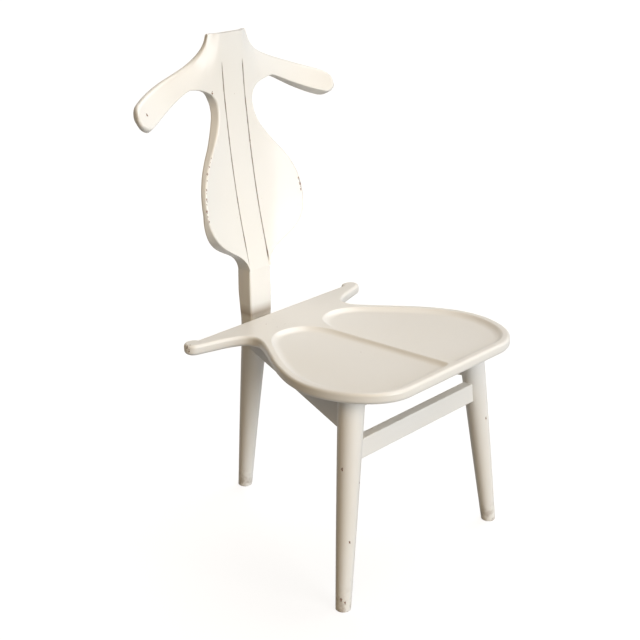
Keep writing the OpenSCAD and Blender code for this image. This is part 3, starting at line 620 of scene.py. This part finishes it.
# %% Side rails
rail_front_h, rail_rear_h, rail_t, rail_tenon = 77.0, 61.4, 20.0, 9.0
rail_mid_z = leg_top_z - rail_front_h / 2
rail_start = V(leg_x(rail_mid_z), leg_y(rail_mid_z))
rail_end = V(15, post_y + 7)
rail_dir = (rail_end - rail_start).normalized()
rail_len = (rail_end - rail_start).length
rail_turn = math.atan2(rail_dir.y, rail_dir.x)
rail_from = leg_top_d / 2 - rail_tenon
blank_mid_z, blank_h = 360, 60


def side_rail_shape(x, y, z):
    """The top follows the seat across the whole board; the bottom tapers along its middle line."""
    along = (V(x, y) - rail_start).dot(rail_dir)
    top = under_z(y) - seat_clear
    spine = under_z(mix(rail_start.y, rail_end.y, along / rail_len)) - seat_clear
    low = spine - mix(rail_front_h, rail_rear_h, along / rail_len)
    return (x, y, top if z > blank_mid_z else low)


rail_middle = rail_start + rail_dir * (rail_from + rail_len) / 2
side_rail_right = board("side_rail_right", (rail_middle.x, rail_middle.y, blank_mid_z),
                        (rail_len - rail_from, rail_t, blank_h), edge=0.002,
                        turn=rail_turn, shape=side_rail_shape)
side_rail_left = polish(mirror_copy(side_rail_right, "side_rail_left"))

# %% [markdown]
# ## Seat
# The seat is a board with two shallow dishes and, behind them, two horns that carry a folded pair of
# trousers or a belt. Its edge is rounded above and below. The outline is drawn once for the right half
# and mirrored. The board is lofted upwards through its rounded edge, and its top is then opened for
# the dishes.

# %% The seat's outline
front_corner, wide_point, seat_waist = V(130, -seat_len), V(seat_w / 2, -311), V(131, -78)
horn_rake, horn_reach, horn_tip_r, horn_tip_out = math.radians(17), 240.0, 18.0, 12.0
tip_at = V(horn_reach - horn_tip_r, horn_tip_out - horn_tip_r)
tip_start = tip_at + horn_tip_r * V(math.sin(horn_rake), -math.cos(horn_rake))
rake_dir = V(math.cos(horn_rake), math.sin(horn_rake))
tip_end_angle = 180 - math.degrees(math.asin((horn_tip_r - horn_tip_out) / horn_tip_r))
corner_curve = [front_corner, front_corner + V(70, 0), wide_point - V(0, 65), wide_point]
side_curve = [wide_point, wide_point + V(0, 100), seat_waist - V(0, 40), seat_waist]
horn_curve = [seat_waist, seat_waist + V(0, 32), tip_start - 60 * rake_dir, tip_start]

half_outline = bezier(corner_curve, 20) + bezier(side_curve, 30) + bezier(horn_curve, 20)
half_outline += arc(tip_at, horn_tip_r, math.degrees(horn_rake) - 90, tip_end_angle, 20)
seat_outline = half_outline + [V(-p.x, p.y) for p in reversed(half_outline)]


def inset(points, d):
    """A closed outline, anticlockwise, moved inwards by d."""
    out, n = [], len(points)
    for i, p in enumerate(points):
        before = (p - points[i - 1]).normalized()
        after = (points[(i + 1) % n] - p).normalized()
        inward = V(-before.y - after.y, before.x + after.x).normalized()
        out.append(p + inward * d / max(0.5, V(-after.y, after.x).dot(inward)))
    return out


print("outline: %d points" % len(seat_outline))

# %% [markdown]
# ## Dishes
# Each dish follows the seat's outer edge at an even rim, crosses to a narrow ridge in the middle, and
# runs down that ridge to the front. Its wall is one smooth curve from a soft lip to the flat floor.
# The wall is grown by extrude, ring by ring inwards and down. Its last ring carries the floor, and the
# lid over its first ring is deleted.

# %% Outline and wall of a dish
dish_rim, dish_depth, dish_wall, ridge_w = 14.5, 7.0, 17.0, 9.0
dish_crown_x, dish_rear, ridge_drop = 73.0, 88.0, 88.0
side_before, side_turn, side_past = 0.56, 0.64, 0.72


def dish_outline(d):
    """Closed outline of a dish, d inwards from its upper rim."""
    edge = [front_corner - V(20, 0)] + bezier(corner_curve, 20) + bezier(side_curve, 18, 0, side_turn)
    edge += [bezier_at(side_curve, side_turn), bezier_at(side_curve, side_past)]
    outer = inset(edge, dish_rim + d)[1:-1]
    last = outer[-1]
    heading = (bezier_at(side_curve, side_turn) - bezier_at(side_curve, side_before)).normalized()
    ridge_x, crown = ridge_w / 2 + 0.8 * d, V(dish_crown_x, -dish_rear - 1.05 * d)
    front_at, turn_r = -seat_len + dish_rim + d, max(2.0, 11 - 0.5 * d)
    ridge_top = V(ridge_x, -dish_rear - ridge_drop)
    shoulder = [last, last + 38 * heading, crown + V(32, 0), crown]
    inner = [crown, crown - V(45 - 0.5 * d, 0), ridge_top + V(0, 55 - 0.6 * d), ridge_top]
    front_turn = [V(ridge_x, front_at + turn_r), V(ridge_x, front_at + 0.4 * turn_r),
                  V(ridge_x + 0.4 * turn_r, front_at), V(ridge_x + turn_r, front_at)]
    ring = outer + [bezier_at(shoulder, i / 16) for i in range(1, 16)] + bezier(inner, 18)
    ring += [ridge_top.lerp(front_turn[0], i / 12) for i in range(12)]
    ring += [bezier_at(front_turn, i / 8) for i in range(9)]
    return ring


wall_curve = [V(-2, 0), V(2.5, 0), V(5, dish_depth), V(dish_wall, dish_depth)]
wall = [bezier_at(wall_curve, i / 16) for i in range(17)]
dish_rings = [[seat_point(p.x, p.y, seat_t - w.y) for p in dish_outline(w.x)] for w in wall]
print("dish: %d rings of %d points" % (len(dish_rings), len(dish_rings[0])))

# %% Loft the board, then open its top for the dishes
bottom_round, top_round, edge_angles = 8.0, 6.0, [math.radians(90 * i / 6) for i in range(7)]
edge_steps = [(bottom_round * (1 - math.sin(a)), bottom_round * (1 - math.cos(a))) for a in edge_angles]
edge_steps += [(top_round * (1 - math.cos(a)), seat_t - top_round * (1 - math.sin(a))) for a in edge_angles]
seat_rings = [[seat_point(p.x, p.y, z) for p in inset(seat_outline, d)] for d, z in edge_steps]
seat = loft("seat_board", seat_rings)


def open_top(piece):
    """Deletes the lid, which is the higher of the two large faces that a loft ends with."""
    only(piece)
    bpy.ops.object.mode_set(mode="EDIT")
    bpy.ops.mesh.select_mode(type="FACE")
    bpy.ops.mesh.select_all(action="DESELECT")
    mesh = bmesh.from_edit_mesh(piece.data)
    lid = max((f for f in mesh.faces if len(f.verts) > 8), key=lambda f: f.calc_center_median().z)
    lid.select = True
    bmesh.update_edit_mesh(piece.data)
    bpy.ops.mesh.delete(type="ONLY_FACE")
    bpy.ops.object.mode_set(mode="OBJECT")


dish_right = loft("dish_right", dish_rings)
open_top(dish_right)
dish_left = mirror_copy(dish_right, "dish_left")
print("dish: %d faces" % len(dish_right.data.polygons))

# %% Join board and dishes, and fill the top between them
open_top(seat)
for part in (dish_right, dish_left):
    part.select_set(True)
bpy.ops.object.join()
bpy.ops.object.mode_set(mode="EDIT")
bpy.ops.mesh.select_mode(type="EDGE")
bpy.ops.mesh.select_all(action="DESELECT")
bpy.ops.mesh.select_non_manifold(extend=False, use_wire=False, use_boundary=True, use_multi_face=False,
                                 use_non_contiguous=False, use_verts=False)
bpy.ops.mesh.fill(use_beauty=True)
face_outwards()
bpy.ops.object.mode_set(mode="OBJECT")
mesh = bmesh.new()
mesh.from_mesh(seat.data)
print("open edges left on the seat:", sum(1 for e in mesh.edges if not e.is_manifold))
mesh.free()
polish(seat)

# %% [markdown]
# ## Finishes
# The whole chair wears one thick, glossy coat of warm ivory lacquer that hides the grain. It isn't
# perfectly even: the colour drifts a little, the film has a faint ripple, a few specks have settled in
# it and the feet are rubbed. Knocks on the edges have chipped it down to red-brown wood. Dirt has
# settled in the two joint lines of the back. Shade is painted into the colour where the post meets the
# seat's height, and along the tops of the legs and side rails under the seat. All of that is drawn on
# Object coordinates, so it stays with each piece from every side.

# %% Node helpers
def new_material(name):
    material = bpy.data.materials.new(name)
    material.use_nodes = True
    tree = material.node_tree
    tree.nodes.clear()
    out = tree.nodes.new("ShaderNodeOutputMaterial")
    shader = tree.nodes.new("ShaderNodeBsdfPrincipled")
    tree.links.new(shader.outputs[0], out.inputs[0])
    place = tree.nodes.new("ShaderNodeTexCoord").outputs["Object"]
    return material, tree, shader, place


def noise(tree, place, scale, detail=3.0, roughness=0.5, stretch=None):
    if stretch:
        mapping = tree.nodes.new("ShaderNodeMapping")
        mapping.inputs["Scale"].default_value = stretch
        tree.links.new(place, mapping.inputs["Vector"])
        place = mapping.outputs[0]
    node = tree.nodes.new("ShaderNodeTexNoise")
    node.inputs["Scale"].default_value = scale
    node.inputs["Detail"].default_value = detail
    node.inputs["Roughness"].default_value = roughness
    tree.links.new(place, node.inputs["Vector"])
    return node.outputs[0]


def spread(tree, value, low, high, to_low, to_high):
    """Maps a value from one range to another, and keeps it inside."""
    node = tree.nodes.new("ShaderNodeMapRange")
    for name, number in (("From Min", low), ("From Max", high), ("To Min", to_low), ("To Max", to_high)):
        node.inputs[name].default_value = number
    tree.links.new(value, node.inputs["Value"])
    return node.outputs[0]


def blend(tree, factor, a, b):
    """Blend of two colours, each a tuple or a socket."""
    node = tree.nodes.new("ShaderNodeMix")
    node.data_type = "RGBA"
    tree.links.new(factor, node.inputs[0])
    for socket, colour in ((node.inputs[6], a), (node.inputs[7], b)):
        if isinstance(colour, tuple):
            socket.default_value = colour + (1.0,)
        else:
            tree.links.new(colour, socket)
    return node.outputs[2]


def maths(tree, operation, a, b=0.0):
    """One sum on two values, each a number or a socket; some operations use only the first."""
    node = tree.nodes.new("ShaderNodeMath")
    node.operation = operation
    for socket, value in ((node.inputs[0], a), (node.inputs[1], b)):
        if isinstance(value, (int, float)):
            socket.default_value = value
        else:
            tree.links.new(value, socket)
    return node.outputs[0]


def bump(tree, shader, height_value, strength, distance):
    node = tree.nodes.new("ShaderNodeBump")
    node.inputs["Strength"].default_value = strength
    node.inputs["Distance"].default_value = distance
    tree.links.new(height_value, node.inputs["Height"])
    tree.links.new(node.outputs[0], shader.inputs["Normal"])


def tiny_dots(tree, place, scale, share, size):
    """Scattered dots: one in the middle of a few randomly chosen cells."""
    node = tree.nodes.new("ShaderNodeTexVoronoi")
    node.inputs["Scale"].default_value = scale
    tree.links.new(place, node.inputs["Vector"])
    pick = tree.nodes.new("ShaderNodeSeparateColor")
    tree.links.new(node.outputs["Color"], pick.inputs[0])
    chosen = maths(tree, "GREATER_THAN", pick.outputs[0], 1 - share)
    return maths(tree, "MULTIPLY", chosen, spread(tree, node.outputs["Distance"], size, size * 1.6, 1, 0))


def chip_mask(tree, place, chips):
    """Ragged spots, twice as tall as wide, around the given places; a row is x, y, z and a half width."""
    upright = 0.5
    mapping = tree.nodes.new("ShaderNodeMapping")
    mapping.inputs["Scale"].default_value = (1, 1, upright)
    tree.links.new(place, mapping.inputs["Vector"])
    ragged = spread(tree, noise(tree, place, 620.0, 2.0, 0.6), 0.3, 0.7, -0.8, 0.8)
    worn = None
    for x, y, z, size in chips:
        far = tree.nodes.new("ShaderNodeVectorMath")
        far.operation = "DISTANCE"
        tree.links.new(mapping.outputs[0], far.inputs[0])
        far.inputs[1].default_value = Vector((x, y, z * upright)) * MM
        edge = maths(tree, "DIVIDE", far.outputs["Value"], size * MM)
        worn = edge if worn is None else maths(tree, "MINIMUM", worn, edge)
    return spread(tree, maths(tree, "ADD", worn, ragged), 0.75, 1.05, 1, 0)


def chain(rows, between, size):
    """Small chips strung between the given places, unevenly spaced and sized."""
    out = []
    for a, b in zip(rows, rows[1:]):
        for i in range(1, between + 1):
            t = (i + 0.3 * math.sin(7 * i + a[2])) / (between + 1)
            place = tuple(mix(p, q, t) for p, q in zip(a[:3], b[:3]))
            out.append(place + (size * (0.7 + 0.3 * math.sin(5 * i + b[2])),))
    return out


# %% Ivory lacquer
IVORY, IVORY_AGED = (0.85, 0.83, 0.782), (0.83, 0.804, 0.742)
CHIP, GRIME = (0.20, 0.095, 0.055), (0.30, 0.22, 0.15)
# The last colour of this row is painted shade, for the dark under the seat.
JOINT_DIRT, PAINTED_SHADE = (0.17, 0.115, 0.07), (0.34, 0.25, 0.16)


def ivory_lacquer(name, chips=(), joint_lines=False, painted_shade_from=None):
    """The chair's lacquer. The last argument paints shade into the colour: the height where it is darkest,
    where it ends, and how dark.
    """
    material, tree, shader, place = new_material(name)
    at = tree.nodes.new("ShaderNodeSeparateXYZ")
    tree.links.new(place, at.inputs[0])
    x_at, z_at = at.outputs[0], at.outputs[2]
    colour = blend(tree, spread(tree, noise(tree, place, 4.0, 1.0), 0.35, 0.65, 0, 1), IVORY, IVORY_AGED)
    specks = maths(tree, "MULTIPLY", tiny_dots(tree, place, 110.0, 0.012, 0.055), 0.7)
    colour = blend(tree, specks, colour, GRIME)
    rub = maths(tree, "MULTIPLY", spread(tree, z_at, 0.0, 0.05, 0.6, 0),
                spread(tree, noise(tree, place, 70.0, 4.0), 0.45, 0.65, 0, 1))
    colour = blend(tree, rub, colour, GRIME)
    relief = noise(tree, place, 38.0, 1.0)
    # Painted shade: the colour darkens towards the seat's underside, where the seat shades the post, legs and
    # rails.
    if painted_shade_from:
        darkest, end, amount = painted_shade_from
        other_end = darkest + math.copysign(8, darkest - end)
        shade_ramp = spread(tree, z_at, darkest * MM, end * MM, amount, 0)
        beyond = spread(tree, z_at, other_end * MM, darkest * MM, 0, 1)
        colour = blend(tree, maths(tree, "MULTIPLY", shade_ramp, beyond), colour, PAINTED_SHADE)
    if joint_lines:
        aside = maths(tree, "SUBTRACT", maths(tree, "ABSOLUTE", x_at), stile_x * MM)
        aside = maths(tree, "ABSOLUTE", aside)
        uneven = spread(tree, noise(tree, place, 60.0, 3.0), 0.3, 0.7, 0.6, 1)
        low_end = spread(tree, z_at, (groove_bottom_z - 2) * MM, (groove_bottom_z + 12) * MM, 0, 1)
        top_end = spread(tree, z_at, (groove_top_z - 12) * MM, (groove_top_z + 2) * MM, 1, 0)
        line = maths(tree, "MULTIPLY", spread(tree, aside, 0.0011, 0.0016, 1, 0),
                     maths(tree, "MULTIPLY", uneven, maths(tree, "MULTIPLY", low_end, top_end)))
        colour = blend(tree, line, colour, JOINT_DIRT)
    if chips:
        mask = chip_mask(tree, place, chips)
        colour = blend(tree, mask, colour, CHIP)
        relief = maths(tree, "SUBTRACT", relief, maths(tree, "MULTIPLY", mask, 2.0))
    tree.links.new(colour, shader.inputs["Base Color"])
    cloudy = noise(tree, place, 9.0, 1.0)
    tree.links.new(spread(tree, cloudy, 0.1, 0.9, 0.26, 0.34), shader.inputs["Roughness"])
    shader.inputs["Specular IOR Level"].default_value = 0.36
    shader.inputs["Coat Weight"].default_value = 0.2
    shader.inputs["Coat Roughness"].default_value = 0.08
    bump(tree, shader, relief, 0.06, 0.0006)
    return material


# %% Chips and coats
joint_chip = (27.4, 245.8, 737.6, 1.5)
wing_left_chips = [
    (-87.6, 233.6, 728.1, 1.3), (-98.4, 228.3, 713.7, 1.2), (-107.4, 224.8, 702.5, 1.8),
    (-119.6, 215.0, 675.8, 1.3), (-125.1, 210.1, 658.5, 1.6), (-129.7, 205.5, 637.1, 1.5),
    (-129.3, 201.4, 618.3, 1.2),
]
wing_left_chips += chain(wing_left_chips, 1, 0.9) + [(-231.5, 244.4, 831.6, 1.9), (-56.5, 259.6, 842.6, 1.5)]
wing_right_chips = [(124.8, 208.2, 652.3, 1.5), (126.1, 205.5, 642.1, 2.0), (125.6, 203.7, 630.2, 1.5)]
wing_right_chips += [joint_chip] + chain(wing_right_chips, 1, 1.2)
leg_left_chips = [
    (-209.9, -202.7, 268.7, 1.6), (-183.8, -221.0, 239.6, 1.2), (-214.1, -224.6, 134.3, 1.4),
    (-232.9, -221.6, 24.5, 1.8), (-229.0, -227.7, 19.0, 1.3),
]
leg_right_chips = [(191.4, -222.8, 234.6, 1.6)]
seat_chips = [
    (-239.2, 153.9, 411.4, 1.8), (-239.0, 149.1, 404.7, 1.4), (-234.0, 151.3, 414.5, 1.2),
    (-48.0, -106.2, 413.9, 0.9), (-63.8, 120.9, 415.4, 0.8), (-62.5, 92.7, 416.1, 0.8),
    (-40.7, 92.4, 416.1, 0.7),
]
# Painted shade on the legs' tops, darkest just under the seat.
leg_top_shade = (398.5, 392, 0.6)
lacquer = ivory_lacquer("ivory_lacquer")
wing_left_coat = ivory_lacquer("ivory_wing_left", wing_left_chips, joint_lines=True)
wing_right_coat = ivory_lacquer("ivory_wing_right", wing_right_chips, joint_lines=True)
# The post gets painted shade where it rises past the seat, darkest at the seat's height.
post_coat = ivory_lacquer("ivory_rear_post", [joint_chip], joint_lines=True, painted_shade_from=(405, 424, 0.6))
leg_left_coat = ivory_lacquer("ivory_leg_left", leg_left_chips, painted_shade_from=leg_top_shade)
leg_right_coat = ivory_lacquer("ivory_leg_right", leg_right_chips, painted_shade_from=leg_top_shade)
# The side rails get painted shade, darkest at their tops under the seat.
rail_coat = ivory_lacquer("ivory_rails", painted_shade_from=(397, 330, 0.55))
seat_coat = ivory_lacquer("ivory_seat", seat_chips)
print("lacquer: %d nodes, with chips and joint lines %d" % (
    len(lacquer.node_tree.nodes), len(wing_left_coat.node_tree.nodes)))

# %% Brass, bare wood and felt for the hidden pieces
brass, tree, shader, place = new_material("satin_brass")
tarnish = spread(tree, noise(tree, place, 160.0, 4.0), 0.4, 0.65, 0, 1)
tree.links.new(blend(tree, tarnish, (0.72, 0.55, 0.27), (0.50, 0.36, 0.16)), shader.inputs["Base Color"])
tree.links.new(spread(tree, noise(tree, place, 300.0, 2.0, stretch=(0.1, 1, 1)), 0.3, 0.7, 0.25, 0.45),
               shader.inputs["Roughness"])
shader.inputs["Metallic"].default_value = 1.0
bump(tree, shader, noise(tree, place, 900.0, 2.0, stretch=(0.05, 1, 1)), 0.08, 0.0002)

wood, tree, shader, place = new_material("bare_beech")
rings_of_wood = noise(tree, place, 40.0, 4.0, 0.6, stretch=(1, 0.06, 1))
late_wood = spread(tree, rings_of_wood, 0.35, 0.65, 0, 1)
tree.links.new(blend(tree, late_wood, (0.52, 0.36, 0.22), (0.36, 0.22, 0.12)), shader.inputs["Base Color"])
tree.links.new(spread(tree, rings_of_wood, 0.3, 0.7, 0.5, 0.7), shader.inputs["Roughness"])
bump(tree, shader, noise(tree, place, 300.0, 3.0, stretch=(1, 0.08, 1)), 0.2, 0.0004)

felt, tree, shader, place = new_material("dark_felt")
fluff = noise(tree, place, 900.0, 4.0, 0.7)
tree.links.new(blend(tree, fluff, (0.09, 0.065, 0.045), (0.16, 0.12, 0.085)), shader.inputs["Base Color"])
tree.links.new(spread(tree, fluff, 0.3, 0.7, 0.85, 1.0), shader.inputs["Roughness"])
bump(tree, shader, fluff, 0.6, 0.0008)

finishes = {"lacquer": lacquer, "brass": brass, "bare_wood": wood, "felt": felt}
print("finishes:", list(finishes))

# %% [markdown]
# ## Everything onto its body
# Each new piece rides on the body that carries it, stands in for its CAD node and takes its finish.
# The CAD nodes that stay are small and mostly hidden, so they only get their finish.

# %% Ride, replace and finish
stand_ins = {
    "rear_post": (post, "frame", post_coat),
    "back_wing_left": (wing_left, "frame", wing_left_coat),
    "back_wing_right": (wing_right, "frame", wing_right_coat),
    "front_leg_left": (leg_left, "frame", leg_left_coat),
    "front_leg_right": (leg_right, "frame", leg_right_coat),
    "front_stretcher": (stretcher, "frame", lacquer),
    "hinge_rail": (hinge_rail, "frame", lacquer),
    "side_rail_left": (side_rail_left, "frame", rail_coat),
    "side_rail_right": (side_rail_right, "frame", rail_coat),
    "seat": (seat, "seat_board", seat_coat),
}
for node, (piece, body, coat) in stand_ins.items():
    piece.data.materials.clear()
    piece.data.materials.append(coat)
    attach(piece, body)
    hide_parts(node)
slots = {row["node"]: row["material_slot"] for row in frame["record"]["subparts"]}
for name, thing in frame["nodes"].items():
    if name not in stand_ins:
        for slot in thing.material_slots:
            slot.material = finishes[slots[name]]
print("new pieces:", len(stand_ins), "kept nodes:", len(frame["nodes"]) - len(stand_ins))

# %% [markdown]
# ## Floor and light
# The picture shows bright fronts, slightly darker tops and left sides in a warm shade. So a broad key
# light stands low in front, a large soft light hangs above to the right, and a weak warm one fills in
# from the left. One more stands low behind, for whoever walks round the chair; it gives no highlight,
# because the seat would mirror it straight into the camera. The floor throws little light back at the
# chair, which keeps its undersides dark. It glows only to the camera and in reflections, which takes it
# to white and leaves the chair's shadow.

# %% What is seen as background
def seen_directly(tree, in_gloss=0.5):
    """1 where the camera looks, less where a surface mirrors it or lets it through, otherwise 0."""
    path = tree.nodes.new("ShaderNodeLightPath")
    mirrored = maths(tree, "MAXIMUM", path.outputs["Is Glossy Ray"], path.outputs["Is Transmission Ray"])
    return maths(tree, "MAXIMUM", path.outputs["Is Camera Ray"], maths(tree, "MULTIPLY", mirrored, in_gloss))


# %% Floor
bpy.ops.object.select_all(action="DESELECT")
floor_size, below_feet = 60, 0.0005
bpy.ops.mesh.primitive_plane_add(size=floor_size, location=(0, 0, -below_feet))
floor = bpy.context.object
floor.name = floor.data.name = "floor"
bpy.ops.object.transform_apply(location=True, rotation=True, scale=True)
paper = bpy.data.materials.new("pale_floor")
paper.use_nodes = True
tree = paper.node_tree
tree.nodes.clear()
out = tree.nodes.new("ShaderNodeOutputMaterial")
matt = tree.nodes.new("ShaderNodeBsdfDiffuse")
matt.inputs["Color"].default_value = (0.25, 0.24, 0.225, 1)
glow = tree.nodes.new("ShaderNodeEmission")
both = tree.nodes.new("ShaderNodeAddShader")
tree.links.new(maths(tree, "MULTIPLY", seen_directly(tree), 0.86), glow.inputs["Strength"])
tree.links.new(matt.outputs[0], both.inputs[0])
tree.links.new(glow.outputs[0], both.inputs[1])
tree.links.new(both.outputs[0], out.inputs[0])
floor.data.materials.append(paper)
print("floor: white to the camera")


# %% Four lights
def soft_light(name, direction, energy, colour, angle):
    """A sun that shines from the given direction, as wide as the given angle."""
    bpy.ops.object.light_add(type="SUN", location=Vector(direction) * 3)
    light = bpy.context.object
    light.name = name
    light.data.energy = energy
    light.data.color = colour
    light.data.angle = math.radians(angle)
    light.rotation_euler = Vector(direction).to_track_quat("Z", "Y").to_euler()
    print("%s: energy %.2f" % (name, energy))
    return light


soft_light("key_light", (0, -0.95, 0.25), 2.68, (0.93, 0.97, 1.02), 42)
soft_light("top_light", (0.50, 0.0, 0.85), 1.62, (0.95, 0.97, 1.0), 45)
soft_light("warm_fill", (-0.55, -0.45, 0.70), 0.95, (1.0, 0.70, 0.34), 45)
back_light = soft_light("back_light", (0.62, 0.78, 0.06), 1.6, (1.0, 0.97, 0.92), 35)
back_light.visible_glossy = False

# %% World
world = bpy.data.worlds.new("studio")
bpy.context.scene.world = world
world.use_nodes = True
tree = world.node_tree
tree.nodes.clear()
out = tree.nodes.new("ShaderNodeOutputWorld")
white = tree.nodes.new("ShaderNodeBackground")
white.inputs["Color"].default_value = (1, 1, 1, 1)
tree.links.new(seen_directly(tree, 0.42), white.inputs["Strength"])
tree.links.new(white.outputs[0], out.inputs[0])
bpy.context.scene.view_settings.view_transform = "Standard"
print("world: white to the camera and in reflections, dark otherwise")
